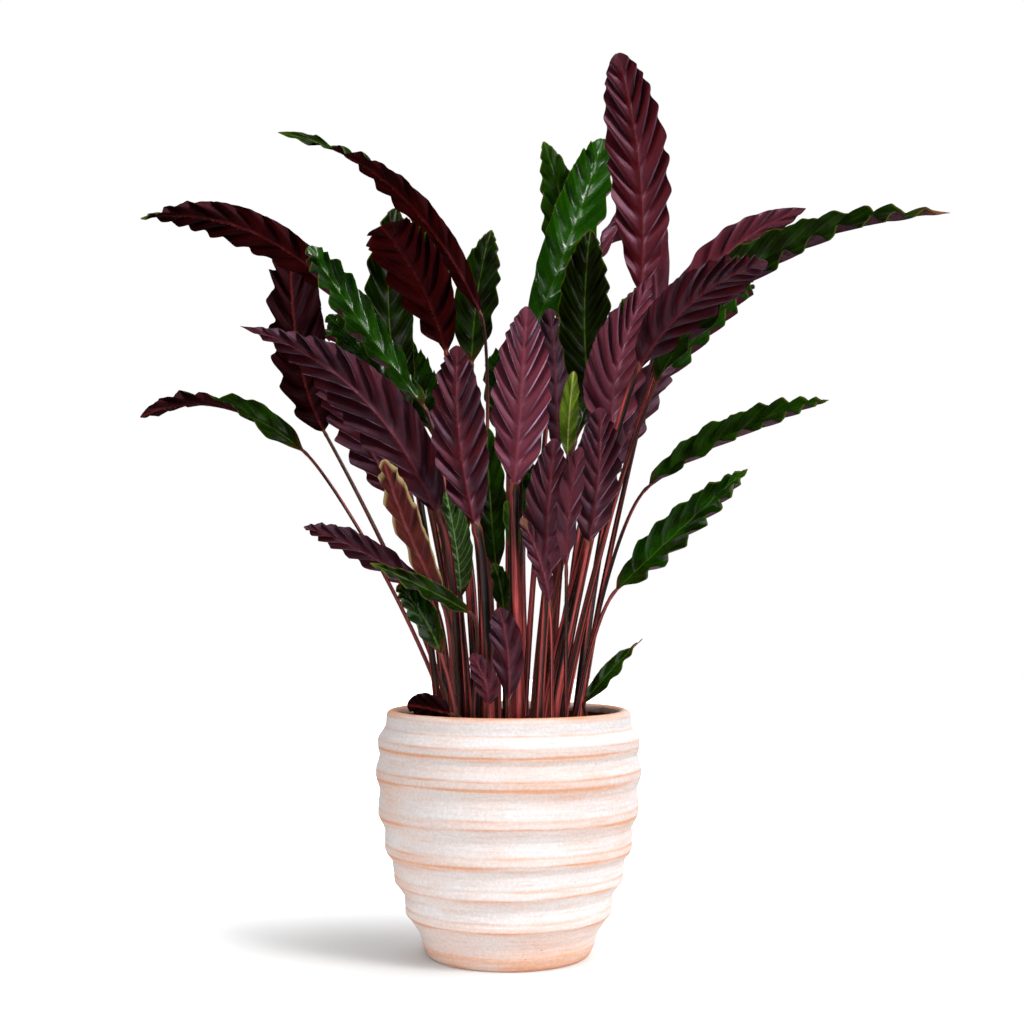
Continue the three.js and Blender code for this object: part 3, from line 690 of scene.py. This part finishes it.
def half_blade(leaf, share, side):
    """Points of both faces at parts of the way from the rib to one margin, and what is measured there."""
    phase = leaf.phase(share)
    length_share = leaf.half_width(share) / leaf.length
    swept = np.minimum(share + VEIN_SWEEP * length_share, mix(share, 1, VEIN_SWEEP_MOST))
    rib_across, rib_upper = leaf.axes(curve_heading(leaf.blade, share), share)
    across, upper = leaf.axes(curve_heading(leaf.blade, swept), swept)
    reach = leaf.half_width(swept)
    lobes = leaf.wave(phase, np.where(np.arange(leaf.steps) % 2 == 0, 1.0, -1.0), MARGIN_CREASE)
    out = reach * (1 - SCALLOP * lobes)
    swing = leaf.ruffle * np.minimum(1, 4 * reach / leaf.width)
    creased, waved = [leaf.wave(phase, leaf.strengths[(side + 1) // 2], crease) * swing
                      for crease in (CREASE, MARGIN_CREASE)]
    ripple = RIPPLE * swing * np.sin(RIPPLES_PER_WAVE * math.pi * phase + side * 1.3 + leaf.number)
    pleat = PLEAT * swing * np.abs(np.cos(math.pi * phase))
    keel = leaf.rib_radius(share)

    part = (np.arange(ACROSS + 1) / ACROSS) ** ACROSS_CROWDING
    beside = unit(mix(rib_across[:, None], across[:, None], part[:, None]))
    lift = unit(mix(rib_upper[:, None], upper[:, None], part[:, None]))
    share, swept, out, creased, waved, ripple, pleat, keel = (
        values[:, None] for values in (share, swept, out, creased, waved, ripple, pleat, keel))
    spine = curve_point(leaf.blade, mix(share, swept, part ** VEIN_BEND).ravel()).reshape(beside.shape)
    away = out * part
    middle = spine + beside * (side * away * math.cos(leaf.fold))[:, :, None]
    height = mix(creased, waved, part * part) * part ** WAVE_FULLNESS * (1 + RELIEF * np.sin(np.pi * part))
    height += away * math.sin(leaf.fold) + CAMBER * out * np.sin(np.pi * part)
    height += ripple * part ** 3 + pleat * np.sin(np.pi * part ** 0.7)
    slim = np.minimum(1, out / SLIM_BELOW)
    thick = mix(BLADE_THICKNESS, EDGE_THICKNESS, part) * np.maximum(SLIMMEST, slim)
    groove = GROOVE * slim * np.exp(-away ** 2)
    ridge = (keel - BLADE_THICKNESS / 2) * np.exp(-(away / (0.9 * keel)) ** 2)
    top = middle + lift * (height + thick / 2 - groove)[:, :, None]
    under = middle + lift * (height - thick / 2 - ridge)[:, :, None]
    return top, under, away, out - away, phase


def blade_rings(leaf, share):
    """Rings of the blade from its left margin over the rib to the right one, and back below."""
    left_top, left_under, left_rib, left_rim, phase = half_blade(leaf, share, -1)
    right_top, right_under, right_rib, right_rim, _ = half_blade(leaf, share, 1)

    def around(left, right, left_below, right_below):
        return np.concatenate([left[:, ::-1], right[:, 1:], right_below[:, ::-1], left_below[:, 1:]], axis=1)

    points = around(left_top, right_top, left_under, right_under)
    rib = around(left_rib, right_rib, left_rib, right_rib)
    rim = around(left_rim, right_rim, left_rim, right_rim)
    return points, rib, rim, np.repeat(phase[:, None], RING, axis=1)


def leaf_points(leaf):
    """All rings of a leaf: the stalk's, the swollen joint's and the blade's."""
    foot = leaf.stalk[0]
    depth = STALK_STRAIGHT + STALK_DEPTH
    sunk = np.linspace(1, 0, BASE_RINGS)
    base = round_rings(leaf, [foot - (0, 0, depth), foot], 1 - sunk, leaf.base_radius, STALK_SIDES)
    count = max(4, int(leaf.stalk_length / STALK_STEP))
    rise = leaf.swollen * np.arange(1, count + 1) / count
    stalk = round_rings(leaf, leaf.stalk, rise, leaf.stalk_radius(rise), STALK_SIDES)
    joint_steps = np.arange(1, JOINT_RINGS + 1) / JOINT_RINGS
    joint_share = mix(leaf.swollen, 1, joint_steps)
    joint_radii = leaf.stalk_radius(joint_share) * (1 + JOINT_SWELLING * np.sin(np.pi * joint_steps))
    joint = round_rings(leaf, leaf.stalk, joint_share, joint_radii, RING)

    share = leaf.shares()
    blade, rib, rim, phase = blade_rings(leaf, share)
    stem = round_rings(leaf, leaf.blade, share, leaf.neck_radius, RING, share)
    blade = mix(stem, blade, smooth(0, leaf.stations[0], share)[:, None, None])

    stalk_rings = np.concatenate([base, stalk])
    rings = np.concatenate([joint, blade])
    below = -np.concatenate([leaf.stalk_length + depth * sunk, leaf.stalk_length * (1 - rise)])
    along = np.concatenate([-leaf.stalk_length * (1 - joint_share), share * leaf.length])

    def on_blade(values, elsewhere):
        plain = np.full(len(stalk_rings) * STALK_SIDES + len(joint) * RING, elsewhere)
        return np.concatenate([plain, values.ravel()])

    measures = {
        "along": np.concatenate([np.repeat(below, STALK_SIDES), np.repeat(along, RING)]),
        "turn": np.concatenate([np.tile(np.arange(STALK_SIDES) / STALK_SIDES, len(stalk_rings)),
                                np.tile(np.arange(RING) / RING, len(rings))]),
        "rib": on_blade(rib, 0.0),
        "rim": on_blade(rim, 9.0),
        "phase": on_blade(phase / 2, 0.0),
    }
    return stalk_rings, rings, len(joint), measures


UPPER, UNDER, SKIN, HAIR = range(4)


def ring_quads(start, rings, sides):
    """Faces between rings of points that follow each other, from the number of their first point."""
    return [(low + i, low + (i + 1) % sides, low + sides + (i + 1) % sides, low + sides + i)
            for low in range(start, start + (rings - 1) * sides, sides) for i in range(sides)]


def leaf_faces(stalk_count, ring_count, joint_count):
    """Quads along the stalk and the blade, the fans that join them, and both ends."""
    faces = ring_quads(0, stalk_count, STALK_SIDES)
    low = (stalk_count - 1) * STALK_SIDES
    high = stalk_count * STALK_SIDES
    for i in range(STALK_SIDES):
        a = low + i
        b = low + (i + 1) % STALK_SIDES
        over = [high + (3 * i + k) % RING for k in range(1, 5)]
        faces += [(a, over[1], over[0]), (a, over[2], over[1]), (a, b, over[2]), (b, over[3], over[2])]
    plain_rings = joint_count + 1
    kinds = [SKIN] * (len(faces) + plain_rings * RING)
    upper_sides = 2 * ACROSS
    kinds += ([UPPER] * upper_sides + [UNDER] * (RING - upper_sides)) * (ring_count - 1 - plain_rings)
    faces += ring_quads(high, ring_count, RING)
    last = high + (ring_count - 1) * RING
    faces += [tuple(range(STALK_SIDES - 1, -1, -1)), tuple(range(last, last + RING))]
    kinds += [SKIN, UNDER]
    return faces, kinds


def hairs(roots, directions, rng):
    """Three-sided closed cones, sunk a little into what they grow from."""
    count = len(roots)
    lengths = rng.uniform(*HAIR_LENGTH, count)[:, None]
    directions = unit(directions)
    side = unit(np.cross(directions, rng.normal(size=(count, 3))))
    other = np.cross(directions, side)
    corners = [roots - directions * HAIR_SUNK
               + HAIR_RADIUS * (side * math.cos(turn) + other * math.sin(turn))
               for turn in (0, math.tau / 3, 2 * math.tau / 3)]
    tips = roots + directions * lengths
    points = np.stack([*corners, tips], axis=1).reshape(-1, 3)
    faces = []
    for a in range(0, 4 * count, 4):
        faces += [(a, a + 1, a + 3), (a + 1, a + 2, a + 3), (a + 2, a, a + 3), (a + 2, a + 1, a)]
    return points, faces


def leaf_down(leaf):
    """Down all round the stalk above the soil, and along the raised midrib under the blade."""
    rng = np.random.default_rng(leaf.number)
    count = int(leaf.stalk_length * HAIRS_PER_MM)
    share = rng.uniform(0, 1, count)
    tangent = curve_heading(leaf.stalk, share)
    across, upper = leaf.axes(tangent)
    angle = rng.uniform(0, math.tau, count)[:, None]
    out = across * np.cos(angle) + upper * np.sin(angle)
    radius = leaf.stalk_radius(share)[:, None] * 0.97
    roots = curve_point(leaf.stalk, share) + out * radius
    ways = out + tangent * rng.uniform(*HAIR_LEAN, (count, 1)) + rng.normal(0, HAIR_SCATTER, (count, 3))

    count = int(leaf.length * RIB_HAIRS_PER_MM)
    share = rng.uniform(*HAIRY_RIB, count)
    tangent = curve_heading(leaf.blade, share)
    across, upper = leaf.axes(tangent, share)
    keel = leaf.rib_radius(share)[:, None]
    angle = rng.uniform(-1.0, 1.0, count)[:, None]
    out = across * np.sin(angle) - upper * np.cos(angle)
    rib_roots = (curve_point(leaf.blade, share) + across * np.sin(angle) * keel * 0.5
                 - upper * keel * 0.85)
    rib_ways = out + tangent * rng.uniform(0, 0.6, (count, 1))
    return hairs(np.concatenate([roots, rib_roots]), np.concatenate([ways, rib_ways]), rng)


def dryness(leaf, along):
    """How far the blade has dried at each point: only the ends of a few leaves have."""
    share = DRIED.get(leaf.number)
    if share is None:
        return np.zeros(len(along))
    return smooth(1 - share, 1 - 0.4 * share, along / leaf.length)


def build_leaf(leaf, finishes):
    stalk_rings, rings, joint_count, measures = leaf_points(leaf)
    points = np.concatenate([stalk_rings.reshape(-1, 3), rings.reshape(-1, 3)])
    faces, kinds = leaf_faces(len(stalk_rings), len(rings), joint_count)
    down_points, down_faces = leaf_down(leaf)
    offset = len(points)
    points = np.concatenate([points, down_points])
    faces += [tuple(corner + offset for corner in face) for face in down_faces]
    kinds += [HAIR] * len(down_faces)
    for key, values in measures.items():
        measures[key] = np.concatenate([values, np.zeros(len(down_points))])
    tone = TONES.get(leaf.number, 0.2 + 0.6 * draw(leaf.number, 7))
    measures["tone"] = np.full(len(points), tone)
    measures["dry"] = dryness(leaf, measures["along"])
    name = f"leaf_{leaf.number:02d}"
    finish = finishes[LOOKS.get(leaf.number, "usual")]
    piece = make_piece(f"{name}_fine", points, faces, finish, kinds, measures)
    dress(piece, name)


def turned(profile, segments, shape):
    """Rings of a turned body from its axis at the bottom to its axis at the end, and its faces."""
    turns = np.arange(segments) * math.tau / segments
    rings = [shape(radius, height, turns) for radius, height in profile[1:-1]]
    points = np.concatenate([[[0, 0, profile[0][1]]], *rings, [[0, 0, profile[-1][1]]]])
    faces = ring_quads(1, len(rings), segments)
    last = len(points) - 1
    top = last - segments
    for i in range(segments):
        after = (i + 1) % segments
        faces += [(0, 1 + after, 1 + i), (top + i, top + after, last)]
    return points, faces


def pot_outline():
    """The pot's profile, with how far inside it is and how much clay shows at each point: worn through the
    wash, and as painted shade in the hollows under the beads.
    """
    knots = [(FOOT_RADIUS, 0), (FOOT_RADIUS + FOOT_ROUND, FOOT_ROUND / 2),
             (FOOT_RADIUS + FOOT_ROUND * 1.85, FOOT_RISE)]
    for bead in reversed(BEADS):
        knots += [(bead["hollow_radius"], bead["hollow"]),
                  (mix(bead["radius"], bead["hollow_radius"], 0.3),
                   bead["crest"] - BEAD_HALF_HEIGHT - BEAD_BEVEL),
                  (bead["radius"] - 0.3, bead["crest"] - BEAD_HALF_HEIGHT),
                  (bead["radius"], bead["crest"] + BEAD_HALF_HEIGHT)]
    knots += [(LIP_RADIUS + 0.4, POT_HEIGHT - LIP_HEIGHT), (LIP_RADIUS, POT_HEIGHT - LIP_ROUND * 3.75)]
    radii, heights = np.array(knots).T
    rise = np.arange(FOOT_ROUND / 2, POT_HEIGHT - LIP_ROUND * 3.5, 0.9)
    dense = np.arange(-8, POT_HEIGHT + 8, 0.3)
    kernel = np.exp(-np.linspace(-2.5, 2.5, 17) ** 2)
    soft = np.convolve(np.interp(dense, heights, radii), kernel / kernel.sum(), "same")
    wall = np.interp(rise, dense, soft)
    rng = np.random.default_rng(3)
    throwing = np.convolve(rng.normal(0, 1, len(rise)), [0.25, 0.5, 0.25], "same") * THROWING_MARKS
    bare_and_shade = np.zeros(len(rise))
    for bead in BEADS:
        for edge, amount in zip((-BEAD_HALF_HEIGHT, BEAD_HALF_HEIGHT), EDGES_BARE):
            line = np.exp(-((rise - bead["crest"] - edge) / EDGE_REACH) ** 2)
            throwing -= EDGE_SOFTENING * line
            bare_and_shade += amount * line
        # Painted shade: the hollow under each bead shows the colour of clay without wash, fading downwards.
        below = bead["crest"] - BEAD_HALF_HEIGHT - rise
        bare_and_shade += HOLLOW_SHADE * np.exp(-np.abs(below) / HOLLOW_REACH) * (below > 0)
        bare_and_shade += FACE_BARE * (np.abs(rise - bead["crest"]) < BEAD_HALF_HEIGHT)
    bare_and_shade += UNDER_LIP_BARE * np.exp(-((rise - POT_HEIGHT + LIP_HEIGHT + 1) / 0.7) ** 2)
    bare_and_shade += FOOT_BARE * (rise < FOOT_RISE * 1.4)
    outside = [(radius, height, BASE_BARE, 0) for radius, height in (
        (0, 0), (FOOT_RADIUS * 0.6, 0), (FOOT_RADIUS - 1, 0), (FOOT_RADIUS + 1.6, 0.5))]
    outside += list(zip(wall + throwing, rise, np.minimum(bare_and_shade, 1), np.zeros(len(rise))))
    lip_middle = ((LIP_RADIUS + MOUTH_RADIUS) / 2, POT_HEIGHT - LIP_ROUND * 3.5)
    lip_half = ((LIP_RADIUS - MOUTH_RADIUS) / 2, LIP_ROUND * 3.5)
    for turn in np.radians(np.arange(10, 181, 10)):
        outside.append((lip_middle[0] + lip_half[0] * math.cos(turn),
                        lip_middle[1] + lip_half[1] * math.sin(turn) ** 0.8,
                        0.35 + 0.6 * math.sin(turn) ** 2, 0.2 * float(turn > 2.2)))
    inner = np.array(INSIDE_WALL)[::-1]
    for height in np.arange(lip_middle[1] - 2, SOIL_LEVEL - 6, -2.0):
        outside.append((np.interp(height, inner[:, 1], inner[:, 0]), height, INSIDE_BARE,
                        float(smooth(200, 194, height))))
    outside += [(radius, height, INSIDE_BARE, 1) for radius, height in INSIDE_WALL[1:]]
    outside.append((0, FLOOR_THICKNESS, INSIDE_BARE, 1))
    return np.array(outside)


def build_pot():
    outline = pot_outline()

    def shape(radius, height, turns):
        loose = math.sin(math.pi * min(max(height / POT_HEIGHT, 0), 1)) ** 0.7
        wander = (BEAD_WAVER[0] * np.sin(turns + height * 0.021)
                  + BEAD_WAVER[1] * np.sin(3 * turns + 1 + height * 0.05))
        swell = 1 + loose * (OUT_OF_ROUND[0] * np.sin(2 * turns + 0.7)
                             + OUT_OF_ROUND[1] * np.sin(5 * turns + height * 0.04))
        return np.stack([radius * swell * np.cos(turns), radius * swell * np.sin(turns),
                         height + wander * loose], axis=1)

    points, faces = turned(outline[:, :2], POT_SEGMENTS, shape)

    def by_point(column):
        rings = np.repeat(outline[1:-1, column], POT_SEGMENTS)
        return np.concatenate([outline[:1, column], rings, outline[-1:, column]])

    measures = {"rise": by_point(1), "bare_and_shade": by_point(2), "inside": by_point(3)}
    piece = make_piece("pot_fine", points, faces, [limewashed_clay()], None, measures, sharp=80)
    dress(piece, "pot")


def soil_height(x, y):
    reach = math.hypot(x, y) / MOUTH_RADIUS
    lumps = math.sin(x * 0.11 + 1.3) * math.cos(y * 0.13 - 0.6) + 0.6 * math.sin(x * 0.07 - y * 0.19)
    return SOIL_LEVEL + SOIL_MOUND * (1 - reach * reach) + SOIL_LUMP * lumps * (1 - reach ** 4)


def crumb(place, size, rng):
    """One crumb of soil: a small faceted lump that is squashed and turned at random."""
    golden = (1 + 5 ** 0.5) / 2
    corners = np.array([(0, s, t * golden) for s in (-1, 1) for t in (-1, 1)])
    corners = np.concatenate([corners, np.roll(corners, 1, axis=1), np.roll(corners, 2, axis=1)])
    corners = unit(corners) * rng.uniform(0.65, 1.1, (12, 1)) * rng.uniform(0.6, 1.2, 3)
    turn, _ = np.linalg.qr(rng.normal(size=(3, 3)))
    if np.linalg.det(turn) < 0:
        turn[0] *= -1
    return place + corners @ turn * size


def hull_faces(points):
    """Outward triangles round a lump of twelve points."""
    work = bmesh.new()
    for point in points:
        work.verts.new(point)
    bmesh.ops.convex_hull(work, input=work.verts)
    work.verts.index_update()
    faces = [tuple(v.index for v in face.verts) for face in work.faces]
    work.free()
    return faces


def build_soil():
    rng = np.random.default_rng(11)
    inner = np.array(INSIDE_WALL)[::-1]
    brim = np.interp(SOIL_LEVEL, inner[:, 1], inner[:, 0]) - CLEARANCE
    (belly, belly_height), (taper, taper_height), (floor, _) = INSIDE_WALL[1:]
    profile = [(0, FLOOR_THICKNESS + CLEARANCE), (floor - CLEARANCE, FLOOR_THICKNESS + CLEARANCE),
               (taper - CLEARANCE, taper_height), (belly - CLEARANCE, belly_height),
               (brim, SOIL_LEVEL - 8)]
    profile += [(brim * share, SOIL_LEVEL) for share in np.linspace(1, 0, SOIL_RINGS)]

    def shape(radius, height, turns):
        x, y = radius * np.cos(turns), radius * np.sin(turns)
        z = np.full(len(turns), float(height))
        if height >= SOIL_LEVEL:
            for i in range(len(turns)):
                spot = Vector((x[i], y[i], 5.0))
                grain = noise.fractal(spot * 0.35, 0.6, 2.2, 4) * 0.9 + noise.noise(spot * 0.09) * 1.4
                z[i] = soil_height(x[i], y[i]) + grain
        return np.stack([x, y, z], axis=1)

    points, faces = turned(profile, SOIL_SEGMENTS, shape)
    points[-1, 2] = points[-2, 2]
    sets = [points]
    offset = len(points)
    for _ in range(CRUMBS):
        reach = brim * 0.97 * math.sqrt(rng.uniform(0, 1))
        turn = rng.uniform(0, math.tau)
        x, y = reach * math.cos(turn), reach * math.sin(turn)
        size = rng.uniform(*CRUMB_SIZE)
        lump = crumb(np.array([x, y, soil_height(x, y) + size * CRUMB_RISE]), size, rng)
        faces += [tuple(corner + offset for corner in face) for face in hull_faces(lump)]
        sets.append(lump)
        offset += len(lump)
    piece = make_piece("soil_fine", np.concatenate(sets), faces, [potting_soil()], sharp=50)
    dress(piece, "soil")


def add_lamp(name, kind, towards, energy):
    """A lamp that shines from the given direction."""
    lamp = bpy.data.objects.new(name, bpy.data.lights.new(name, kind))
    lamp.data.energy = energy
    lamp.rotation_euler = Vector(towards).to_track_quat("Z", "Y").to_euler()
    bpy.context.scene.collection.objects.link(lamp)
    return lamp


def add_lamps():
    """The far lamps, and the wide one for the under sides of the leaves that lean forward."""
    for name, towards, energy, spread in FAR_LAMPS:
        far = add_lamp(name, "SUN", towards, energy)
        far.data.angle = math.radians(spread)
        far.visible_glossy = name in MIRRORED_LAMPS
    place = Vector(LOW_LIGHT_PLACE)
    low = add_lamp("low_front", "AREA", place - Vector(LOW_LIGHT_AIM), LOW_LIGHT)
    low.location = place * MM
    low.data.shape = "RECTANGLE"
    low.data.size = LOW_LIGHT_SIZE[0] * MM
    low.data.size_y = LOW_LIGHT_SIZE[1] * MM
    low.visible_camera = False


def build_surround():
    """A surround that is white to the eye, but dim as a light and not mirrored, which keeps blacks black."""
    world = bpy.data.worlds.new("surround")
    bpy.context.scene.world = world
    world.use_nodes = True
    nodes, links = world.node_tree.nodes, world.node_tree.links
    seen = nodes.new("ShaderNodeMix")
    links.new(nodes.new("ShaderNodeLightPath").outputs["Is Camera Ray"], seen.inputs[0])
    seen.inputs[2].default_value = SURROUND_LIGHT
    seen.inputs[3].default_value = 1.0
    links.new(seen.outputs[0], nodes["Background"].inputs["Strength"])
    nodes["Background"].inputs["Color"].default_value = (1, 1, 1, 1)
    world.cycles_visibility.glossy = False


def lit_table():
    """A pale table that glows more and more away from the one place where it shows a shadow."""
    shader = Shader("lit_table")
    shade = shader.node("ShaderNodeMapping", {
        "Vector": shader.place(),
        "Location": (SHADE_PLACE[0] * MM, SHADE_PLACE[1] * MM, 0),
        "Scale": (SHADE_REACH[0] * MM, SHADE_REACH[1] * MM, 1)}, vector_type="TEXTURE")
    away = shader.node("ShaderNodeVectorMath", {0: shade.outputs["Vector"]}, operation="LENGTH")
    glow = shader.step(away.outputs["Value"], 0.0, 1.0)
    return shader.finish(linear(196, 196, 196), 0.9, Specular_IOR_Level=0.0,
                         Emission_Color=(1, 1, 1, 1), Emission_Strength=glow)


def build_table(name, inner, outer, material):
    """A flat ring of the table."""
    turns = np.arange(TABLE_SIDES) * math.tau / TABLE_SIDES
    circle = np.stack([np.cos(turns), np.sin(turns), 0 * turns], axis=1)
    following = [(i, (i + 1) % TABLE_SIDES) for i in range(TABLE_SIDES)]
    faces = [(i, i + TABLE_SIDES, after + TABLE_SIDES, after) for i, after in following]
    table = make_piece(name, np.concatenate([circle * inner, circle * outer]), faces, [material])
    return table


def build_stage():
    """A plain pale table, the surround, the lamps and the camera."""
    finish = lit_table()
    build_table("table_near", 0, NEAR_TABLE_RADIUS, finish)
    far = build_table("table_far", NEAR_TABLE_RADIUS, TABLE_RADIUS, finish)
    far.visible_diffuse = False
    far.visible_glossy = False
    build_surround()
    add_lamps()

    camera = bpy.data.objects.new("camera", bpy.data.cameras.new("camera"))
    camera.data.lens = CAMERA_LENS
    camera.data.sensor_width = SENSOR
    camera.data.clip_end = 50
    camera.location = Vector(CAMERA_PLACE) * MM
    camera.rotation_euler = (math.radians(90 + CAMERA_TILT), 0, 0)
    bpy.context.scene.collection.objects.link(camera)
    bpy.context.scene.camera = camera
    bpy.context.scene.view_settings.view_transform = "Standard"


def leaf_finishes():
    """Upper side, under side, stalk and down for each look that a leaf can have."""
    uppers = {name: green_side(name, colors, **more) for name, (colors, more) in UPPER_SIDES.items()}
    unders = {name: velvet_side(name, colors, **more) for name, (colors, more) in UNDER_SIDES.items()}
    rest = [stalk_skin(), down_hair()]
    return {look: [uppers[upper], unders[under], *rest] for look, (upper, under) in SIDES.items()}


def build_plant():
    finishes = leaf_finishes()
    for index, (measures, more) in enumerate(LEAVES):
        build_leaf(Leaf(index, *measures, **more), finishes)


build_stage()
build_pot()
build_soil()
build_plant()
